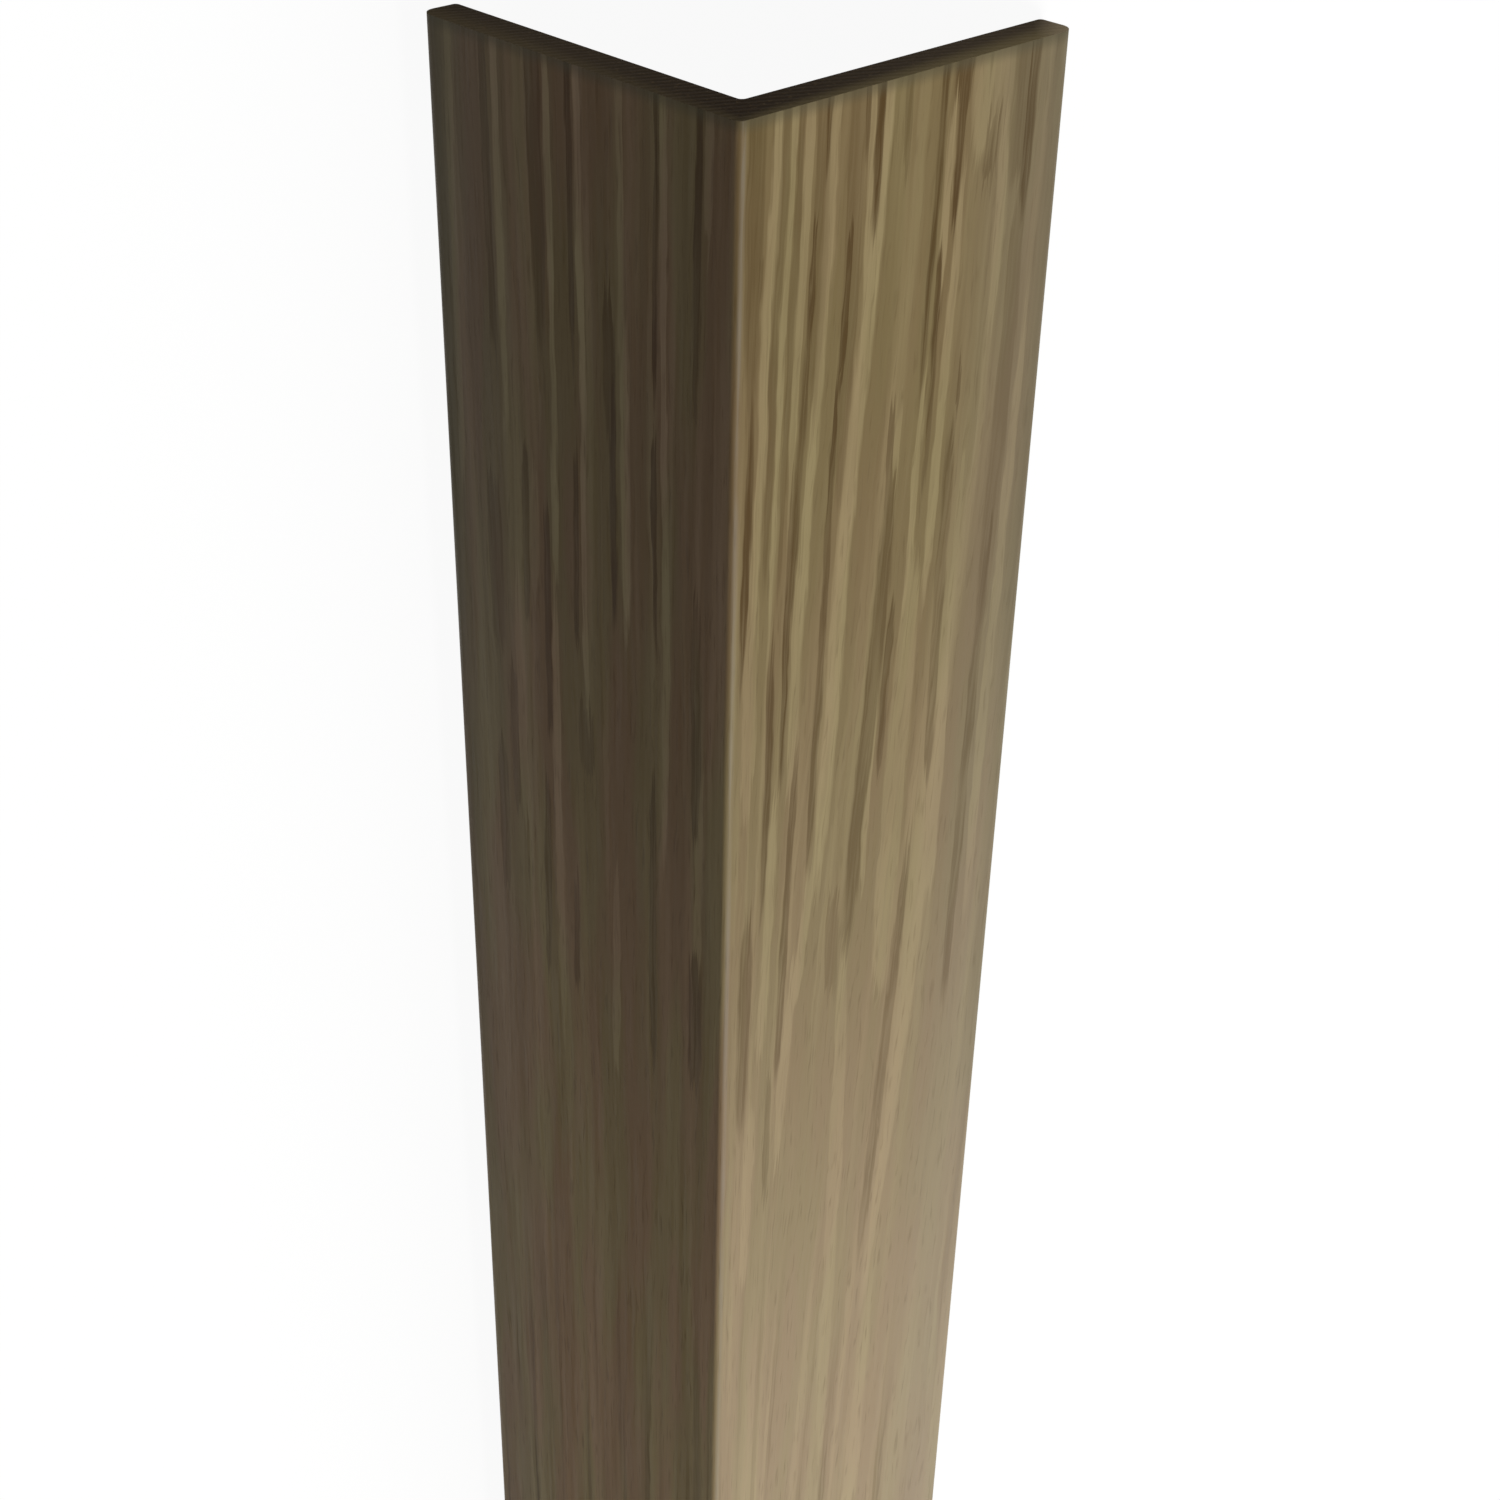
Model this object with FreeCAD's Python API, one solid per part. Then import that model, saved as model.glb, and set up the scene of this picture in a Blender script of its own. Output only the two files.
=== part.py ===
import FreeCAD, Part

import math
import os

# Corner guard moulding: one extruded angle of wood-grained composite that covers the outer corner of
# a wall. Millimetres, +Z up, length along X. It lies like a tent: the nose that shows on the wall is
# the ridge, and both legs stand on the long edges that lie against the wall in use.

LENGTH = 1220.0            # one stock length, both ends sawn square
LEG_WIDTH = 40.0           # each leg, from the sharp outer corner to its long edge
WALL = 4.0                 # thickness of both legs
CORNER_ANGLE = 90.0        # degrees between the legs
NOSE_RADIUS = 0.6          # the outer corner is only just eased
INNER_CORNER_RADIUS = 0.5  # fillet left by the die where the legs meet inside
OUTER_EDGE_RADIUS = 1.5    # rounded long edge that the grained skin turns over
INNER_EDGE_RADIUS = 0.4    # eased long edge next to the wall


def mirrored(point):
    """The same point on the other leg."""
    return FreeCAD.Vector(point.x, -point.y, point.z)


def rounded_outline(corners):
    """Closed wire through (point, radius) corners, each rounded by an arc tangent to its two sides."""
    starts = []
    ends = []
    edges = []
    for index, (point, radius) in enumerate(corners):
        to_last = (corners[index - 1][0] - point).normalize()
        to_next = (corners[(index + 1) % len(corners)][0] - point).normalize()
        half_angle = to_last.getAngle(to_next) / 2
        tangent_length = radius / math.tan(half_angle)
        middle_distance = radius / math.sin(half_angle) - radius
        start = point + to_last * tangent_length
        middle = point + (to_last + to_next).normalize() * middle_distance
        end = point + to_next * tangent_length
        edges.append(Part.Arc(start, middle, end).toShape())
        starts.append(start)
        ends.append(end)
    for index, end in enumerate(ends):
        next_start = starts[(index + 1) % len(starts)]
        edges.append(Part.LineSegment(end, next_start).toShape())
    return Part.Wire(Part.__sortEdges__(edges))


def section():
    """Section across the length, ridge up, with the legs' inner edges on the floor at z = 0."""
    lean = math.radians(CORNER_ANGLE / 2)
    down_the_leg = FreeCAD.Vector(0, math.sin(lean), -math.cos(lean))
    into_the_wall = FreeCAD.Vector(0, -math.cos(lean), -math.sin(lean))

    # the arc of each inner edge touches the floor straight below its centre
    arc_centre_drop = (
        (LEG_WIDTH - INNER_EDGE_RADIUS) * math.cos(lean)
        + (WALL - INNER_EDGE_RADIUS) * math.sin(lean)
    )
    nose = FreeCAD.Vector(-LENGTH / 2, 0, arc_centre_drop + INNER_EDGE_RADIUS)
    inner_corner = nose - FreeCAD.Vector(0, 0, WALL / math.sin(lean))
    outer_edge = nose + down_the_leg * LEG_WIDTH
    inner_edge = outer_edge + into_the_wall * WALL

    corners = [
        (nose, NOSE_RADIUS),
        (outer_edge, OUTER_EDGE_RADIUS),
        (inner_edge, INNER_EDGE_RADIUS),
        (inner_corner, INNER_CORNER_RADIUS),
        (mirrored(inner_edge), INNER_EDGE_RADIUS),
        (mirrored(outer_edge), OUTER_EDGE_RADIUS),
    ]
    return Part.Face(rounded_outline(corners))


corner_guard = section().extrude(FreeCAD.Vector(LENGTH, 0, 0))

os.makedirs("parts", exist_ok=True)
corner_guard.exportStep("parts/corner_guard.step")
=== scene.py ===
import math

import bpy
import numpy
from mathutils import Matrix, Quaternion, Vector


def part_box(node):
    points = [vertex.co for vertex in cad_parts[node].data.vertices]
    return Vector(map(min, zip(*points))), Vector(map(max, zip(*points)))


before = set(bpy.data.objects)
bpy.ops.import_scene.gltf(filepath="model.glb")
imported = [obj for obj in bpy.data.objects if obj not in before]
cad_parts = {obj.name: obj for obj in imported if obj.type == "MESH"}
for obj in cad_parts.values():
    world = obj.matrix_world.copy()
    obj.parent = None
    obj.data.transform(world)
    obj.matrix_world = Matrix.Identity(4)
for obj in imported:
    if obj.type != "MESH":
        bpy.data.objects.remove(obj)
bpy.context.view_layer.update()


# The moulding: one extruded square angle of wood-plastic composite, lying ridge up on its two long
# edges. A printed wood-grain foil is pressed onto its outer faces as it leaves the die and turned over
# the long edges. The back is bare composite and both ends are sawn, so each has a finish of its own.

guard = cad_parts["corner_guard"]
guard_low, guard_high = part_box("corner_guard")


# The skin: printed PVC foil, a thin satin film with a straight wood grain in browns. It is pressed hot
# onto both outer faces and turned over the long edges, so it is one with the moulding.

MM = 1000.0                     # in a metre: patterns are laid out in millimetres
LENGTH_MM = (guard_high.x - guard_low.x) * MM
FOIL_LIGHT = "#95855f"
FOIL_MID = "#756441"
FOIL_DARK = "#4d3915"
# painted light: the paler sheen further along the faces, and the lit tip at the ends
FOIL_PAINTED_LIGHT = "#beab8f"
FOIL_PAINTED_LIGHT_IN_SHADE = "#ad9563"
FOIL_GREY = "#918b80"
FOIL_SHADE_AND_SAW = "#4b4734"
RED_TINT = "#fff8fb"
OLIVE_TINT = "#fbfff7"
SHADE_TINT = "#f7f1ff"


def linear(hex_colour):
    """An sRGB hex value as the linear colour that shader sockets take."""
    channels = [int(hex_colour[i:i + 2], 16) / 255 for i in (1, 3, 5)]
    return [c / 12.92 if c <= 0.04045 else ((c + 0.055) / 1.055) ** 2.4 for c in channels] + [1.0]


def add(tree, kind, inputs, **settings):
    """Adds a node with its settings, gives its sockets values or links, returns its first live output."""
    made = tree.nodes.new(kind)
    for name, value in settings.items():
        setattr(made, name, value)
    live = [socket for socket in made.inputs if socket.enabled]
    for key, value in inputs.items():
        socket = live[key] if isinstance(key, int) else next(s for s in live if s.name == key)
        if isinstance(value, bpy.types.NodeSocket):
            tree.links.new(value, socket)
        else:
            socket.default_value = value
    return next((socket for socket in made.outputs if socket.enabled), None)


# printed foil gives the eye ragged streaks down the length, dark growth lines that gather beside the
# nose on one face, a paler stretch further along that is a painted sheen, fine pressed pores, a rubbed nose
# with a painted highlight, and rims in painted shade
foil = bpy.data.materials.new("printed_wood_grain_foil")
foil.use_nodes = True
tree = foil.node_tree
tree.nodes.clear()

place = add(tree, "ShaderNodeTexCoord", {}).node.outputs["Object"]
axes = add(tree, "ShaderNodeSeparateXYZ", {"Vector": place}).node.outputs
along = add(tree, "ShaderNodeMath", {0: axes["X"], 1: MM, 2: -guard_low.x * MM},
            operation="MULTIPLY_ADD")
# both faces lean at 45 degrees, so the width unrolled from the nose is Y times the root of two
across = add(tree, "ShaderNodeMath", {0: axes["Y"], 1: MM * math.sqrt(2)}, operation="MULTIPLY")

# the fibres waver at three sizes: slow bends, and the ragged sides of each streak
fibre = across
for wide_mm, long_mm, amount_mm in ((12.0, 45.0, 1.0), (1.4, 11.0, 0.5), (0.4, 5.0, 0.4)):
    spot = add(tree, "ShaderNodeCombineXYZ", {"X": across, "Y": along})
    spot = add(tree, "ShaderNodeVectorMath", {0: spot, 1: (1 / wide_mm, 1 / long_mm, 0)},
               operation="MULTIPLY")
    waver = add(tree, "ShaderNodeTexNoise", {"Vector": spot, "Scale": 1.0, "Detail": 1.0},
                noise_dimensions="2D")
    waver = add(tree, "ShaderNodeMath", {0: waver, 1: 0.5}, operation="SUBTRACT")
    fibre = add(tree, "ShaderNodeMath", {0: waver, 1: amount_mm, 2: fibre}, operation="MULTIPLY_ADD")

# on one face the grain drifts towards the nose and back, on the other it runs straight
DRIFT_MM = 6.0
DRIFT_WAVE_MM = 520.0
DRIFT_CENTRE_MM = 80.0
DRIFT_STARTS_MM = -4.0          # across, from none on one face
DRIFT_FULL_MM = 10.0            # to all of it on the other
DRIFT_LESS_FROM_MM = 18.0
DRIFT_HALVED_MM = 40.0
per_mm = 2 * math.pi / DRIFT_WAVE_MM
angle = add(tree, "ShaderNodeMath", {0: along, 1: per_mm, 2: -per_mm * DRIFT_CENTRE_MM},
            operation="MULTIPLY_ADD")
swing = add(tree, "ShaderNodeMath", {0: angle}, operation="SINE")
swing = add(tree, "ShaderNodeMath", {0: swing, 1: math.sin(per_mm * DRIFT_CENTRE_MM)}, operation="ADD")
inner_part = add(tree, "ShaderNodeMapRange", {"Value": across, "From Min": DRIFT_STARTS_MM,
                 "From Max": DRIFT_FULL_MM, "To Min": 0.0, "To Max": DRIFT_MM},
                 interpolation_type="SMOOTHSTEP")
outer_part = add(tree, "ShaderNodeMapRange", {"Value": across, "From Min": DRIFT_LESS_FROM_MM,
                 "From Max": DRIFT_HALVED_MM, "To Min": 1.0, "To Max": 0.5},
                 interpolation_type="SMOOTHSTEP")
reach = add(tree, "ShaderNodeMath", {0: inner_part, 1: outer_part}, operation="MULTIPLY")
grain = add(tree, "ShaderNodeMath", {0: swing, 1: reach, 2: fibre}, operation="MULTIPLY_ADD")
grain_place = add(tree, "ShaderNodeCombineXYZ", {"X": grain, "Y": along})

# noise stretched along the grain, each layer moved so that none repeats another; real pores are finer
# still, and are drawn coarse enough to show
LAYER_MOVE = (3.7, 5.1)
layers = {}
for name, wide_mm, long_mm, detail in (
    ("bands", 6.0, 160.0, 2.0),
    ("threads", 1.3, 60.0, 2.0),
    ("lines", 1.7, 100.0, 1.5),
    ("pale", 2.2, 130.0, 1.5),
    ("patches", 3.0, 14.0, 2.0),
    ("pores", 0.3, 5.0, 1.0),
    ("fibres", 0.3, 20.0, 2.0),
    ("hues", 4.0, 40.0, 1.0),
):
    spot = add(tree, "ShaderNodeVectorMath", {0: grain_place, 1: (1 / wide_mm, 1 / long_mm, 0),
               2: (len(layers) * LAYER_MOVE[0], len(layers) * LAYER_MOVE[1], 0)},
               operation="MULTIPLY_ADD")
    layers[name] = add(tree, "ShaderNodeTexNoise", {"Vector": spot, "Scale": 1.0, "Detail": detail},
                       noise_dimensions="2D")

tone = add(tree, "ShaderNodeMath", {0: layers["threads"], 1: 0.7, 2: layers["bands"]},
           operation="MULTIPLY_ADD")
tone = add(tree, "ShaderNodeMapRange", {"Value": tone, "From Min": 0.8, "From Max": 1.25, "To Max": 0.8})
printed = add(tree, "ShaderNodeMix", {"Factor": tone, "A": linear(FOIL_MID), "B": linear(FOIL_LIGHT)},
              data_type="RGBA")

# the bold streaks of this print by the sawn end, placed one by one on both faces: how far across and along
# each starts, how far across and along it stops, its half width, all in mm, and its strength
PALE_STREAKS = (
    (5.0, -20, 2.2, 54, 0.65, 0.8), (2.6, 36, 2.2, 66, 0.9, 0.5), (6.4, -16, 4.5, 50, 0.4, 0.75),
    (8.2, -16, 6.6, 40, 0.45, 0.7), (11.6, -20, 8.4, 54, 0.75, 0.85), (8.6, 38, 7.7, 66, 0.75, 0.8),
    (15.0, -12, 14.9, 20, 0.35, 0.8), (18.2, -20, 13.6, 48, 1.0, 1.0), (14.0, 34, 12.2, 80, 1.15, 0.95),
    (11.9, 72, 9.3, 92, 0.8, 0.8), (9.2, 84, 7.6, 112, 0.75, 0.8), (6.0, 64, 4.9, 96, 0.75, 0.7),
    (3.8, 100, 3.5, 126, 0.8, 0.8), (24.8, 2, 24.4, 22, 0.6, 0.85), (26.6, 8, 25.1, 52, 0.7, 0.85),
    (23.2, 26, 22.4, 62, 0.6, 0.85), (20.1, 28, 20.0, 37, 0.4, 0.6), (29.4, -14, 29.0, 10, 2.4, 0.7),
    (31.7, 4, 31.6, 26, 0.7, 0.6), (36.5, 22, 35.1, 94, 0.75, 0.65), (23.4, 44, 22.2, 98, 1.7, 0.65),
    (19.2, 54, 18.9, 82, 0.5, 0.7), (29.4, 58, 29.0, 88, 0.9, 0.75), (28.8, 78, 22.6, 142, 1.0, 0.85),
    (16.9, 84, 16.8, 165, 1.1, 0.65), (29.4, 38, 29.3, 56, 0.6, 0.5), (-3.4, -8, -3.3, 12, 0.5, 0.5),
    (-8.8, -14, -8.4, 40, 0.5, 0.85), (-8.2, 34, -8.5, 76, 0.55, 0.8), (-14.0, -12, -13.9, 28, 0.5, 0.6),
    (-13.5, 18, -13.5, 52, 0.75, 1.0), (-19.4, -14, -19.0, 36, 0.5, 1.0), (-19.2, 30, -19.1, 64, 0.45, 0.8),
    (-23.3, -14, -23.2, 40, 0.5, 0.9), (-23.4, 32, -23.4, 50, 0.55, 0.9), (-23.7, 48, -24.2, 106, 0.7, 0.9),
    (-29.9, -12, -30.3, 38, 0.6, 0.9), (-36.2, -8, -37.0, 46, 0.6, 0.7), (-26.6, 38, -26.6, 52, 0.6, 0.5),
    (-29.3, 48, -29.4, 80, 0.8, 0.7), (-3.5, 60, -3.6, 88, 0.6, 0.7), (-15.2, 76, -15.7, 104, 0.6, 0.7),
)
GROWTH_LINES = (
    (1.9, -20, 1.9, 26, 1.1, 0.7), (2.7, 11, 2.6, 16, 0.35, 0.9), (2.1, 21, 1.2, 52, 0.5, 1.0),
    (5.5, -20, 3.8, 44, 0.5, 0.55), (7.3, -20, 5.6, 46, 0.45, 0.55), (9.9, -20, 9.8, 8, 0.45, 1.0),
    (9.5, -20, 9.1, 28, 1.0, 0.5), (8.7, 8, 8.3, 23, 0.45, 1.0), (8.3, 17, 7.2, 48, 0.55, 0.85),
    (7.2, 30, 6.5, 66, 0.5, 0.95), (14.4, -14, 14.3, 7, 0.45, 1.0), (13.4, -20, 13.0, 38, 1.1, 0.5),
    (12.8, 10, 12.4, 27, 0.42, 1.0), (12.3, 22, 11.4, 52, 0.45, 1.0), (11.6, 42, 10.7, 76, 0.5, 0.8),
    (16.0, -14, 15.6, 14, 0.55, 1.0), (19.2, -10, 19.2, 9, 0.6, 0.6), (24.1, -14, 22.5, 32, 0.55, 0.95),
    (25.8, -6, 25.8, 4, 1.4, 0.85), (26.4, -6, 25.4, 16, 0.55, 1.0), (24.3, 15, 24.2, 39, 0.5, 0.95),
    (19.3, 28, 19.2, 40, 0.45, 0.7), (19.7, 34, 16.9, 90, 1.2, 0.75), (20.7, 48, 20.2, 69, 0.6, 0.85),
    (30.0, 5, 29.9, 12, 1.1, 0.6), (35.1, -20, 34.6, 18, 0.9, 0.95), (34.4, 12, 33.8, 60, 1.2, 0.5),
    (33.5, -20, 33.7, 14, 1.9, 0.6), (34.2, 42, 32.6, 106, 0.85, 0.75), (27.9, 27, 27.9, 32, 0.4, 0.7),
    (27.3, 32, 27.7, 73, 0.85, 0.7), (5.1, 46, 4.5, 79, 0.55, 0.95), (8.6, 58, 7.2, 101, 0.6, 0.85),
    (2.7, 75, 2.6, 105, 1.0, 0.8), (6.2, 96, 6.2, 115, 0.5, 0.7), (14.9, 79, 15.0, 93, 1.1, 0.5),
    (25.6, 75, 21.4, 136, 0.9, 0.8), (-4.5, -12, -4.5, 28, 0.5, 0.85), (-9.5, -6, -9.7, 28, 0.4, 0.9),
    (-9.7, 28, -9.7, 52, 0.4, 0.8), (-15.5, 18, -15.4, 33, 0.8, 0.7), (-15.0, 24, -15.2, 52, 0.5, 0.95),
    (-20.4, -10, -20.3, 28, 0.5, 0.85), (-20.2, 34, -20.4, 56, 0.45, 0.8), (-25, -12, -25, 28, 1.1, 0.65),
    (-24.7, 40, -24.9, 68, 0.6, 0.75), (-4.3, 42, -4.2, 70, 0.8, 0.7), (-19.4, 60, -19.4, 69, 1.2, 0.5),
    (-31.5, -6, -31.6, 30, 0.6, 0.65), (-27.8, 36, -27.9, 55, 0.6, 0.7), (-32.5, 40, -32.6, 61, 1.1, 0.5),
    (-10.1, 63, -10.2, 101, 0.6, 0.7), (-4.0, 82, -4.0, 99, 1.2, 0.7), (-30.6, 60, -30.7, 79, 0.7, 0.5),
    (-21.4, 80, -21.9, 98, 0.6, 0.65), (-25.4, 70, -26.3, 98, 0.6, 0.65), (-32.9, 70, -33.0, 90, 0.9, 0.5),
)
# further from the end they give way to streaks from noise
PLACED_TO_MM = 100.0
SCATTERED_FROM_MM = 190.0
past_end = add(tree, "ShaderNodeMapRange", {"Value": along, "From Min": PLACED_TO_MM,
               "From Max": SCATTERED_FROM_MM}, interpolation_type="SMOOTHSTEP")
# each fibre of a streak starts and stops a little before or after the next
RAGGED_MM = 9.0
ragged = add(tree, "ShaderNodeMath", {0: layers["fibres"], 1: RAGGED_MM, 2: along},
             operation="MULTIPLY_ADD")
ragged = add(tree, "ShaderNodeMath", {0: ragged, 1: RAGGED_MM / 2}, operation="SUBTRACT")
# three streaks are worked out at a time, one on each axis of a vector, which renders faster
fibre_3, along_3, ragged_3 = (
    add(tree, "ShaderNodeCombineXYZ", {"X": value, "Y": value, "Z": value})
    for value in (fibre, along, ragged)
)
CRISP = 1.6                     # how steeply a streak's edge falls
wear = add(tree, "ShaderNodeMath", {0: layers["fibres"], 1: layers["patches"]}, operation="ADD")
WEAR_LOW = 0.75
WEAR_HIGH = 1.15
marked = {}
for layer, streaks, low, high, least, thinner in (
    ("pale", PALE_STREAKS, 0.54, 0.64, 0.6, 1.0),
    ("lines", GROWTH_LINES, 0.54, 0.70, 0.5, 1.3),
):
    marks = (0, 0, 0)
    for trio in zip(streaks[0::3], streaks[1::3], streaks[2::3]):
        from_across, from_along, to_across, to_along, half_width, strength = numpy.array(trio).T
        half_length = (to_along - from_along) / 2
        slope = (to_across - from_across) / (to_along - from_along)
        # off the streak's own line in half widths, and off its middle in half lengths
        off_line = add(tree, "ShaderNodeVectorMath", {0: along_3, 1: -slope / half_width,
                       2: (slope * from_along - from_across) / half_width}, operation="MULTIPLY_ADD")
        off_line = add(tree, "ShaderNodeVectorMath", {0: fibre_3, 1: 1 / half_width, 2: off_line},
                       operation="MULTIPLY_ADD")
        off_middle = add(tree, "ShaderNodeVectorMath", {0: ragged_3, 1: 1 / half_length,
                         2: -1 - from_along / half_length}, operation="MULTIPLY_ADD")
        # blunt long ovals: the second power across and the fourth along
        across_part = add(tree, "ShaderNodeVectorMath", {0: off_line, 1: off_line}, operation="MULTIPLY")
        along_part = add(tree, "ShaderNodeVectorMath", {0: off_middle, 1: off_middle}, operation="MULTIPLY")
        oval = add(tree, "ShaderNodeVectorMath", {0: along_part, 1: along_part, 2: across_part},
                   operation="MULTIPLY_ADD")
        mark = add(tree, "ShaderNodeVectorMath", {0: oval, 1: (-CRISP,) * 3, 2: (CRISP,) * 3},
                   operation="MULTIPLY_ADD")
        mark = add(tree, "ShaderNodeVectorMath", {0: mark, 1: strength}, operation="MINIMUM")
        marks = add(tree, "ShaderNodeVectorMath", {0: mark, 1: marks}, operation="MAXIMUM")
    thirds = add(tree, "ShaderNodeSeparateXYZ", {"Vector": marks}).node.outputs
    scattered = add(tree, "ShaderNodeMapRange", {"Value": layers[layer], "From Min": low, "From Max": high})
    marks = add(tree, "ShaderNodeMath", {0: scattered, 1: past_end}, operation="MULTIPLY")
    for third in thirds:
        marks = add(tree, "ShaderNodeMath", {0: marks, 1: third}, operation="MAXIMUM")
    marks = add(tree, "ShaderNodeMath", {0: marks, 1: thinner}, operation="POWER")
    broken = add(tree, "ShaderNodeMapRange", {"Value": wear, "From Min": WEAR_LOW, "From Max": WEAR_HIGH,
                 "To Min": least, "To Max": 1.0})
    marked[layer] = add(tree, "ShaderNodeMath", {0: marks, 1: broken}, operation="MULTIPLY")
printed = add(tree, "ShaderNodeMix", {"Factor": marked["pale"], "A": printed, "B": linear(FOIL_LIGHT)},
              data_type="RGBA")

# further along the foil is painted paler and its growth lines fainter, which is a painted sheen. The face
# in shade gets that sheen in a darker colour of its own and its lines fade less there, which is painted
# shade
SHEEN_MOST = 0.43
SHEEN_STARTS_MM = 20.0
SHEEN_FULL_MM = 175.0
SHEEN_FADES_MM = 200.0
SHEEN_FADED_MM = 480.0
# the face in shade: from here on the print gets a shaded copy of itself there, which is painted shade
shaded = add(tree, "ShaderNodeMapRange", {"Value": across, "From Min": 1.0, "From Max": -1.0})
sheen_from = add(tree, "ShaderNodeMapRange", {"Value": along, "From Min": SHEEN_STARTS_MM,
                "From Max": SHEEN_FULL_MM, "To Max": SHEEN_MOST}, interpolation_type="SMOOTHSTEP")
sheen_to = add(tree, "ShaderNodeMapRange", {"Value": along, "From Min": SHEEN_FADES_MM,
              "From Max": SHEEN_FADED_MM, "To Min": 1.0, "To Max": 0.3}, interpolation_type="SMOOTHSTEP")
# pale is the share of the painted sheen
pale = add(tree, "ShaderNodeMath", {0: sheen_from, 1: sheen_to}, operation="MULTIPLY")
sheen_colour = add(tree, "ShaderNodeMix", {"Factor": shaded, "A": linear(FOIL_PAINTED_LIGHT),
                  "B": linear(FOIL_PAINTED_LIGHT_IN_SHADE)}, data_type="RGBA")
printed = add(tree, "ShaderNodeMix", {"Factor": pale, "A": printed, "B": sheen_colour}, data_type="RGBA")
sheen_fade_most = add(tree, "ShaderNodeMapRange", {"Value": shaded, "To Min": 0.45, "To Max": 0.75})
sheen_fade = add(tree, "ShaderNodeMapRange", {"Value": pale, "From Max": SHEEN_MOST, "To Min": 1.0,
            "To Max": sheen_fade_most})
lines = add(tree, "ShaderNodeMath", {0: marked["lines"], 1: sheen_fade}, operation="MULTIPLY")
pore = add(tree, "ShaderNodeMapRange", {"Value": layers["pores"], "From Min": 0.6, "From Max": 0.8,
           "To Max": 0.25})
lines = add(tree, "ShaderNodeMath", {0: lines, 1: pore}, operation="MAXIMUM")
printed = add(tree, "ShaderNodeMix", {"Factor": lines, "A": printed, "B": linear(FOIL_DARK)},
              data_type="RGBA")

# reddish and olive fibres lie side by side. On the face in shade they are stronger, and the print there
# is given more contrast and a tint of its own, which is painted shade
SHADE_CONTRAST = 1.5
hue = add(tree, "ShaderNodeMapRange", {"Value": layers["hues"], "From Min": 0.4, "From Max": 0.6})
tint = add(tree, "ShaderNodeMix", {"Factor": hue, "A": linear(RED_TINT), "B": linear(OLIVE_TINT)},
           data_type="RGBA")
tinted = add(tree, "ShaderNodeMapRange", {"Value": shaded, "To Min": 0.5, "To Max": 1.0})
printed = add(tree, "ShaderNodeMix", {"Factor": tinted, "A": printed, "B": tint},
              data_type="RGBA", blend_type="MULTIPLY")
mean = linear(FOIL_MID)[:3]
shade_contrast = add(tree, "ShaderNodeMapRange", {"Value": shaded, "To Min": 1.0, "To Max": SHADE_CONTRAST})
contrast = add(tree, "ShaderNodeVectorMath", {0: printed, 1: mean}, operation="DIVIDE")
contrast = add(tree, "ShaderNodeGamma", {"Color": contrast, "Gamma": shade_contrast})
printed = add(tree, "ShaderNodeVectorMath", {0: contrast, 1: mean}, operation="MULTIPLY")
printed = add(tree, "ShaderNodeMix", {"Factor": shaded, "A": printed, "B": linear(SHADE_TINT)},
              data_type="RGBA", blend_type="MULTIPLY")

# towards the long edges it is painted greyer, a painted reflection of the white room, all but the growth
# lines, which stay brown
GREY_STARTS_MM = 24.0
GREY_FULL_MM = 37.0
aside = add(tree, "ShaderNodeMath", {0: across}, operation="ABSOLUTE")
reflection_most = add(tree, "ShaderNodeMapRange", {"Value": lines, "To Min": 0.2, "To Max": 0.06})
painted_reflection = add(tree, "ShaderNodeMapRange", {"Value": aside, "From Min": GREY_STARTS_MM,
           "From Max": GREY_FULL_MM, "To Max": reflection_most}, interpolation_type="SMOOTHSTEP")
printed = add(tree, "ShaderNodeMix", {"Factor": painted_reflection, "A": printed, "B": linear(FOIL_GREY)},
              data_type="RGBA")

# where it is bent over the nose it is rubbed to a fine grey line that comes and goes; it lies on the lit
# side of the nose and is also a painted highlight
NOSE_LINE_AT_MM = 0.4
NOSE_LINE_CORE_MM = 0.1
NOSE_LINE_HALF_MM = 0.5
off_nose = add(tree, "ShaderNodeMath", {0: across, 1: NOSE_LINE_AT_MM}, operation="SUBTRACT")
off_nose = add(tree, "ShaderNodeMath", {0: off_nose}, operation="ABSOLUTE")
rub_and_highlight = add(tree, "ShaderNodeMapRange", {"Value": wear, "From Min": WEAR_LOW, "From Max": WEAR_HIGH,
             "To Max": 0.3})
nose_rub_and_highlight = add(tree, "ShaderNodeMapRange", {"Value": off_nose, "From Min": NOSE_LINE_CORE_MM,
                "From Max": NOSE_LINE_HALF_MM, "To Min": rub_and_highlight, "To Max": 0.0},
                interpolation_type="SMOOTHSTEP")
printed = add(tree, "ShaderNodeMix", {"Factor": nose_rub_and_highlight, "A": printed, "B": linear(FOIL_GREY)},
              data_type="RGBA")

# along the rims it is darker, a painted shade on the rounded long edges, heavier on the face in shade and
# lighter where the painted sheen is, and it is darkened by the saw at both ends
RIM_STARTS_MM = 36.0
RIM_FULL_MM = 38.5
SAW_REACH_MM = 1.4
rim_shade_most = add(tree, "ShaderNodeMapRange", {"Value": shaded, "To Min": 0.35, "To Max": 0.55})
rim_shade_amount = add(tree, "ShaderNodeMapRange", {"Value": pale, "From Max": 1.2 * SHEEN_MOST, "To Min": rim_shade_most,
             "To Max": 0.0})
rim_shade = add(tree, "ShaderNodeMapRange", {"Value": aside, "From Min": RIM_STARTS_MM,
          "From Max": RIM_FULL_MM, "To Max": rim_shade_amount}, interpolation_type="SMOOTHSTEP")
printed = add(tree, "ShaderNodeMix", {"Factor": rim_shade, "A": printed, "B": linear(FOIL_SHADE_AND_SAW)},
              data_type="RGBA")
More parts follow.
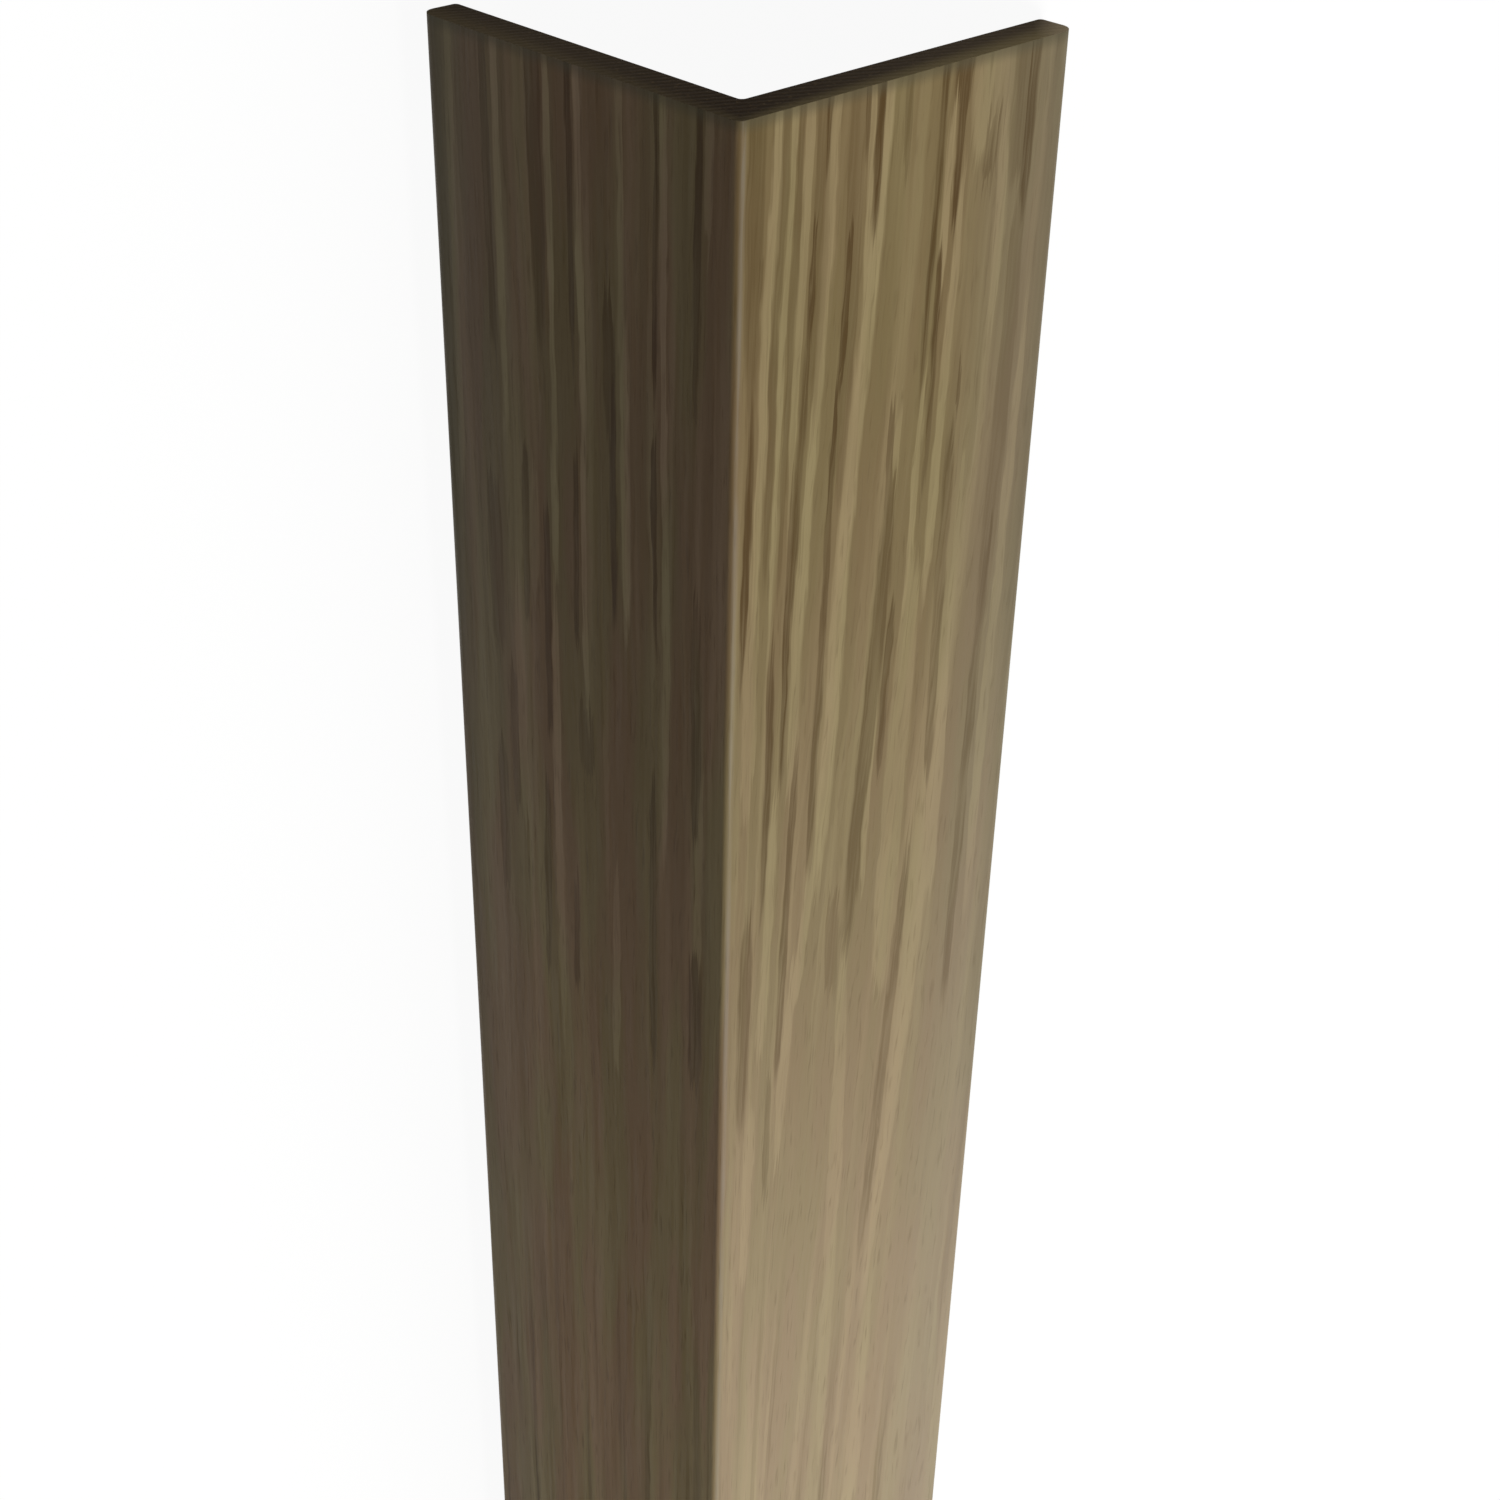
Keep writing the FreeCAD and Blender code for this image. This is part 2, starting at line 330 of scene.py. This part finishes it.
from_far_end = add(tree, "ShaderNodeMath", {0: LENGTH_MM, 1: along}, operation="SUBTRACT")
from_end = add(tree, "ShaderNodeMath", {0: along, 1: from_far_end}, operation="MINIMUM")
sawn = add(tree, "ShaderNodeMapRange", {"Value": from_end, "From Min": 0.0, "From Max": SAW_REACH_MM,
           "To Min": 0.6, "To Max": 0.0}, interpolation_type="SMOOTHSTEP")
printed = add(tree, "ShaderNodeMix", {"Factor": sawn, "A": printed, "B": linear(FOIL_SHADE_AND_SAW)},
              data_type="RGBA")

PORE_DEPTH_MM = 0.05
height = add(tree, "ShaderNodeMath", {0: 1.0, 1: pore}, operation="SUBTRACT")
relief = add(tree, "ShaderNodeBump", {"Height": height, "Strength": 0.3, "Distance": PORE_DEPTH_MM / MM})
gloss = add(tree, "ShaderNodeMapRange", {"Value": layers["fibres"], "From Min": 0.3, "From Max": 0.7,
            "To Min": 0.45, "To Max": 0.6})
surface = add(tree, "ShaderNodeBsdfPrincipled", {"Base Color": printed, "Roughness": gloss, "IOR": 1.5,
              "Specular IOR Level": 0.12, "Normal": relief})
add(tree, "ShaderNodeOutputMaterial", {"Surface": surface})


# The back: the moulding's own composite, wood flour in dark brown plastic, left bare as it is extruded,
# because it lies against the wall.

CORE_BROWN = "#463727"
CORE_DARK = "#2b2116"
CORE_FLOUR = "#6e5b40"
DIE_LINE_WIDE_MM = 0.5
DIE_LINE_LONG_MM = 400.0
DIE_LINE_DEPTH_MM = 0.1
FLOUR_WIDE_MM = 0.5             # drawn coarser than most wood flour, so that it shows
FLOUR_LONG_MM = 1.2

# extruded composite gives the eye fine straight lines that the die leaves, and faint specks of flour
back = bpy.data.materials.new("extruded_wood_plastic_composite")
back.use_nodes = True
tree = back.node_tree
tree.nodes.clear()
place = add(tree, "ShaderNodeTexCoord", {}).node.outputs["Object"]
spot = add(tree, "ShaderNodeVectorMath", {0: place, 1: (MM / DIE_LINE_LONG_MM, MM / DIE_LINE_WIDE_MM,
           MM / DIE_LINE_WIDE_MM)}, operation="MULTIPLY")
lines = add(tree, "ShaderNodeTexNoise", {"Vector": spot, "Scale": 1.0, "Detail": 3.0})
spot = add(tree, "ShaderNodeVectorMath", {0: place, 1: (MM / FLOUR_LONG_MM, MM / FLOUR_WIDE_MM,
           MM / FLOUR_WIDE_MM)}, operation="MULTIPLY")
specks = add(tree, "ShaderNodeTexNoise", {"Vector": spot, "Scale": 1.0, "Detail": 2.0})
line = add(tree, "ShaderNodeMapRange", {"Value": lines, "From Min": 0.35, "From Max": 0.65})
shade = add(tree, "ShaderNodeMix", {"Factor": line, "A": linear(CORE_DARK), "B": linear(CORE_BROWN)},
            data_type="RGBA")
speck = add(tree, "ShaderNodeMapRange", {"Value": specks, "From Min": 0.6, "From Max": 0.75,
            "To Max": 0.6})
shade = add(tree, "ShaderNodeMix", {"Factor": speck, "A": shade, "B": linear(CORE_FLOUR)},
            data_type="RGBA")
relief = add(tree, "ShaderNodeBump", {"Height": lines, "Strength": 0.4,
             "Distance": DIE_LINE_DEPTH_MM / MM})
gloss = add(tree, "ShaderNodeMapRange", {"Value": lines, "From Min": 0.3, "From Max": 0.7,
            "To Min": 0.5, "To Max": 0.65})
surface = add(tree, "ShaderNodeBsdfPrincipled", {"Base Color": shade, "Roughness": gloss, "IOR": 1.5,
              "Specular IOR Level": 0.25, "Normal": relief})
add(tree, "ShaderNodeOutputMaterial", {"Surface": surface})


# The ends: the same composite, cut square by a saw after the foil is on, so the foil's own edge shows
# round the outside of the core.

SAW_DUST_AND_LIGHT = "#766856"
SAW_PITCH_MM = 0.9
SAW_SLANT = 0.35
SAW_DEPTH_MM = 0.1
FOIL_EDGE_AT_NOSE_MM = 1.4      # drawn wider than the real film, which is too thin to show
FOIL_EDGE_AT_RIM_MM = 3.4
FOIL_TIP_MM = 3.0
NEAR_NOSE = 0.1                 # share of each leg over which one leg's line passes into the other's

# sawn composite gives the eye slanting saw marks, pale specks of cut wood flour, grey sawdust and painted
# light that gather towards the long edges, the foil as a soft light line that is brighter on the lit leg as
# painted light, and painted light where the foil turns round that leg's tip
ends = bpy.data.materials.new("sawn_wood_plastic_composite")
ends.use_nodes = True
tree = ends.node_tree
tree.nodes.clear()
place = add(tree, "ShaderNodeTexCoord", {}).node.outputs["Object"]
axes = add(tree, "ShaderNodeSeparateXYZ", {"Vector": place}).node.outputs
spot = add(tree, "ShaderNodeVectorMath", {0: place, 1: (MM / FLOUR_WIDE_MM,) * 3}, operation="MULTIPLY")
specks = add(tree, "ShaderNodeTexNoise", {"Vector": spot, "Scale": 1.0, "Detail": 2.0})
slant = add(tree, "ShaderNodeMath", {0: axes["Y"], 1: SAW_SLANT, 2: axes["Z"]}, operation="MULTIPLY_ADD")
turns = add(tree, "ShaderNodeMath", {0: slant, 1: MM * 2 * math.pi / SAW_PITCH_MM, 2: specks},
            operation="MULTIPLY_ADD")
saw = add(tree, "ShaderNodeMath", {0: turns}, operation="SINE")
line = add(tree, "ShaderNodeMapRange", {"Value": saw, "From Min": -1.0, "From Max": 1.0,
           "To Min": 0.0, "To Max": 0.4})
shade = add(tree, "ShaderNodeMix", {"Factor": line, "A": linear(CORE_DARK), "B": linear(CORE_BROWN)},
            data_type="RGBA")
speck = add(tree, "ShaderNodeMapRange", {"Value": specks, "From Min": 0.58, "From Max": 0.75,
            "To Max": 0.5})
shade = add(tree, "ShaderNodeMix", {"Factor": speck, "A": shade, "B": linear(CORE_FLOUR)},
            data_type="RGBA")
aside = add(tree, "ShaderNodeMath", {0: axes["Y"]}, operation="ABSOLUTE")
# paler towards the long edges: sawdust, and painted light on the tips
dust_and_light = add(tree, "ShaderNodeMapRange", {"Value": aside, "From Max": guard_high.y, "To Min": 0.05,
           "To Max": 0.5})
shade = add(tree, "ShaderNodeMix", {"Factor": dust_and_light, "A": shade, "B": linear(SAW_DUST_AND_LIGHT)},
            data_type="RGBA")
# the planes of both outer faces lie where Y and Z, both at 45 degrees to them, add up to the most
skin_sum = max(abs(vertex.co.y) + vertex.co.z for vertex in guard.data.vertices)
depth_sum = add(tree, "ShaderNodeMath", {0: aside, 1: axes["Z"]}, operation="ADD")
skin_from = add(tree, "ShaderNodeMapRange", {"Value": aside, "From Max": guard_high.y,
                "To Min": skin_sum - math.sqrt(2) * FOIL_EDGE_AT_NOSE_MM / MM,
                "To Max": skin_sum - math.sqrt(2) * FOIL_EDGE_AT_RIM_MM / MM})
# the line is bolder towards the rims, and brighter on the leg that carries the lit face, which is painted
# light
bold = add(tree, "ShaderNodeMapRange", {"Value": aside, "From Max": guard_high.y, "To Min": 0.35,
           "To Max": 0.85})
lit_leg = add(tree, "ShaderNodeMapRange", {"Value": axes["Y"], "From Min": NEAR_NOSE * guard_low.y,
          "From Max": NEAR_NOSE * guard_high.y, "To Min": 0.3, "To Max": 1.0})
line_and_lit_leg = add(tree, "ShaderNodeMath", {0: bold, 1: lit_leg}, operation="MULTIPLY")
skin = add(tree, "ShaderNodeMapRange", {"Value": depth_sum, "From Min": skin_from, "From Max": skin_sum,
           "To Max": line_and_lit_leg}, interpolation_type="SMOOTHSTEP")
shade = add(tree, "ShaderNodeMix", {"Factor": skin, "A": shade, "B": linear(FOIL_LIGHT)},
            data_type="RGBA")
# on that leg the foil also shows where it turns round the tip, painted pale as light falling on it
painted_lit_tip = add(tree, "ShaderNodeMapRange", {"Value": axes["Y"], "From Min": guard_high.y - FOIL_TIP_MM / MM,
          "From Max": guard_high.y, "To Max": 0.8})
shade = add(tree, "ShaderNodeMix", {"Factor": painted_lit_tip, "A": shade, "B": linear(FOIL_PAINTED_LIGHT)},
            data_type="RGBA")
rough = add(tree, "ShaderNodeMath", {0: saw, 1: 0.3, 2: specks}, operation="MULTIPLY_ADD")
relief = add(tree, "ShaderNodeBump", {"Height": rough, "Strength": 0.5, "Distance": SAW_DEPTH_MM / MM})
surface = add(tree, "ShaderNodeBsdfPrincipled", {"Base Color": shade, "Roughness": 0.85, "IOR": 1.5,
              "Specular IOR Level": 0.05, "Normal": relief})
add(tree, "ShaderNodeOutputMaterial", {"Surface": surface})


# The finished moulding: the foil covers both outer faces and is turned over the long edges to just under
# each leg. The back between them stays bare, and the ends are the only faces across the length.

LONG_EDGE_MM = 2.7              # how far in from the widest point the foil reaches under each leg
finishes = [foil, back, ends]
guard.data.materials.clear()
for finish in finishes:
    guard.data.materials.append(finish)
for face in guard.data.polygons:
    is_end = abs(face.normal.x) > 0.9
    is_back = face.normal.z < -0.1 and abs(face.center.y) < guard_high.y - LONG_EDGE_MM / MM
    finish = ends if is_end else back if is_back else foil
    face.material_index = finishes.index(finish)


# The floor: plain pale ground under the moulding, a matt white board. It is white to the camera and in
# reflections, and keeps the moulding's soft shadow close by.

FLOOR_SIDE = 30.0
BOARD_WHITE = "#e0e0de"
WHITE_GLOW = 1.09               # a little over white, to make up for the share that is shaded
SHADOW_REACH = 0.9              # up to here the floor takes the shadow
SHADOW_ENDS = 2.0
WHITE_SHARE = 0.86              # how much of the floor is plain white where it takes the shadow

bpy.ops.mesh.primitive_plane_add(size=FLOOR_SIDE)
floor = bpy.context.object
floor.name = "floor"
ground = bpy.data.materials.new("matt_white_board")
ground.use_nodes = True
tree = ground.node_tree
tree.nodes.clear()
rays = add(tree, "ShaderNodeLightPath", {}).node.outputs
seen = add(tree, "ShaderNodeMath", {0: rays["Is Camera Ray"], 1: rays["Is Glossy Ray"]},
           operation="MAXIMUM")
seen = add(tree, "ShaderNodeMath", {0: seen, 1: rays["Is Transmission Ray"]}, operation="MAXIMUM")
place = add(tree, "ShaderNodeTexCoord", {}).node.outputs["Object"]
distance = add(tree, "ShaderNodeVectorMath", {0: place}, operation="LENGTH").node.outputs["Value"]
plain = add(tree, "ShaderNodeMapRange", {"Value": distance, "From Min": SHADOW_REACH,
            "From Max": SHADOW_ENDS, "To Min": WHITE_SHARE, "To Max": 1.0}, interpolation_type="SMOOTHSTEP")
share = add(tree, "ShaderNodeMath", {0: seen, 1: plain}, operation="MULTIPLY")
matt = add(tree, "ShaderNodeBsdfDiffuse", {"Color": linear(BOARD_WHITE)})
white = add(tree, "ShaderNodeEmission", {"Strength": WHITE_GLOW})
both = add(tree, "ShaderNodeMixShader", {0: share, 1: matt, 2: white})
add(tree, "ShaderNodeOutputMaterial", {"Surface": both})
floor.data.materials.append(ground)


# The light: one large soft lamp beside the moulding, high and towards the far end, so that one face is
# lit and the other is in shade, with a little light from a plain white room all round.

KEY_AT = Vector((0.6, 1.8, 1.5))
KEY_SIZE = 1.2
KEY_WATTS = 62.0
ROOM_LIGHT = 0.14

key = bpy.data.lights.new("key_softbox", "AREA")
key.shape = "DISK"
key.size = KEY_SIZE
key.energy = KEY_WATTS
softbox = bpy.data.objects.new("key_softbox", key)
softbox.location = KEY_AT
softbox.rotation_mode = "QUATERNION"
softbox.rotation_quaternion = (-KEY_AT).to_track_quat("-Z", "Y")
bpy.context.scene.collection.objects.link(softbox)

room = bpy.data.worlds.new("white_room")
room.use_nodes = True
bpy.context.scene.world = room
tree = room.node_tree
tree.nodes.clear()
rays = add(tree, "ShaderNodeLightPath", {}).node.outputs
seen = add(tree, "ShaderNodeMath", {0: rays["Is Camera Ray"], 1: rays["Is Glossy Ray"]},
           operation="MAXIMUM")
seen = add(tree, "ShaderNodeMath", {0: seen, 1: rays["Is Transmission Ray"]}, operation="MAXIMUM")
strength = add(tree, "ShaderNodeMapRange", {"Value": seen, "To Min": ROOM_LIGHT, "To Max": 1.0})
sky = add(tree, "ShaderNodeBackground", {"Color": linear("#ffffff"), "Strength": strength})
add(tree, "ShaderNodeOutputWorld", {"Surface": sky})


# The camera: it looks steeply down on one sawn end from just above the nose, close by, so that the two
# faces run away from it down the picture.

CAMERA_AT = Vector((-0.66577, 0.00313, 0.20711))
CAMERA_AIM = Vector((-0.53381, 0.00174, 0.0))
CAMERA_ROLL = math.radians(182.125)
IMAGE_FOCAL_PX = 2351.0
IMAGE_SIDE_PX = 1500

lens = bpy.data.cameras.new("camera")
lens.sensor_width = 36.0
lens.lens = IMAGE_FOCAL_PX / IMAGE_SIDE_PX * lens.sensor_width
lens.clip_start = 0.01
camera = bpy.data.objects.new("camera", lens)
camera.location = CAMERA_AT
camera.rotation_mode = "QUATERNION"
level = (CAMERA_AIM - CAMERA_AT).to_track_quat("-Z", "Y")
camera.rotation_quaternion = level @ Quaternion((0, 0, 1), CAMERA_ROLL)
bpy.context.scene.collection.objects.link(camera)
bpy.context.scene.camera = camera

bpy.context.scene.view_settings.view_transform = "Standard"
